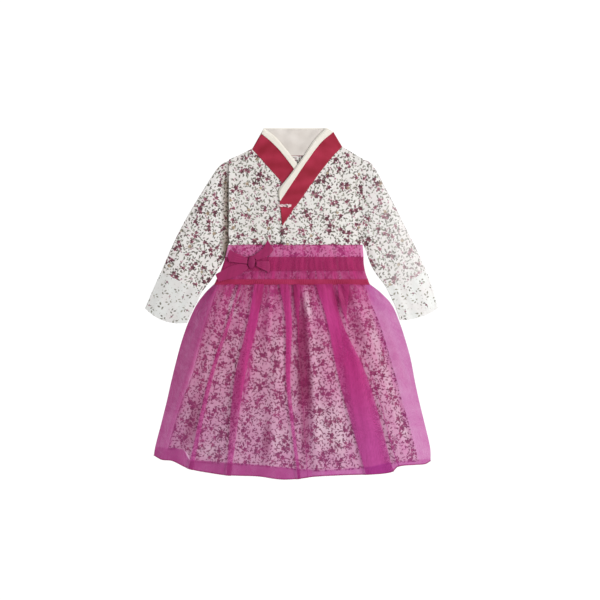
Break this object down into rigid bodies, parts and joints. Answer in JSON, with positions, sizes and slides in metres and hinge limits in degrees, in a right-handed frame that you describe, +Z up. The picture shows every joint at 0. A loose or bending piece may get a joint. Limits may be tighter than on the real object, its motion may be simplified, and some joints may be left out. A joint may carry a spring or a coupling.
{
  "type": "korean hanbok dress",
  "caption": "Small child's hanbok dress laid flat: floral crossed-front bodice with long sleeves, crimson and cream collar, floral skirt under a sheer magenta overskirt with a tied belt.",
  "frame": {"origin": "on the surface that the dress lies on, under the middle of its bounding box", "axes": "+Z up out of the surface and out of the dress's front, +Y from hem to neck, +X towards the wearer's left sleeve"},
  "size_m": [0.615, 0.7362, 0.0179],
  "materials": {
    "floral_cotton": "cotton printed with small roses and leaves on an off-white ground",
    "cuff_cotton": "pale cotton with a sparse print",
    "crimson_band": "smooth crimson band, doubled",
    "cream_band": "stiff cream band",
    "neck_lining": "off-white lining with a slight sheen",
    "organza": "sheer magenta organza",
    "organza_ribbon": "doubled magenta organza",
    "waist_piping": "crimson gathered seam"
  },
  "bodies": {
    "root": {"bodice_back": "floral_cotton", "bodice_front_right": "floral_cotton", "bodice_front_left": "floral_cotton", "sleeve_right": "floral_cotton", "sleeve_left": "floral_cotton", "cuff_right": "cuff_cotton", "cuff_left": "cuff_cotton", "collar_back": "crimson_band", "collar_right": "crimson_band", "collar_left": "crimson_band", "white_band_back": "cream_band", "white_band_right": "cream_band", "white_band_left": "cream_band", "neck_lining": "neck_lining", "skirt": "floral_cotton", "overskirt": "organza", "header": "organza", "belt": "organza_ribbon", "waist_piping": "waist_piping", "bow_knot": "organza_ribbon", "bow_loop_right": "organza_ribbon", "bow_loop_left": "organza_ribbon", "bow_tail_upper": "organza_ribbon", "bow_tail_lower": "organza_ribbon", "tie_loop": "floral_cotton", "tie_button": "floral_cotton"}
  },
  "joints": []
}
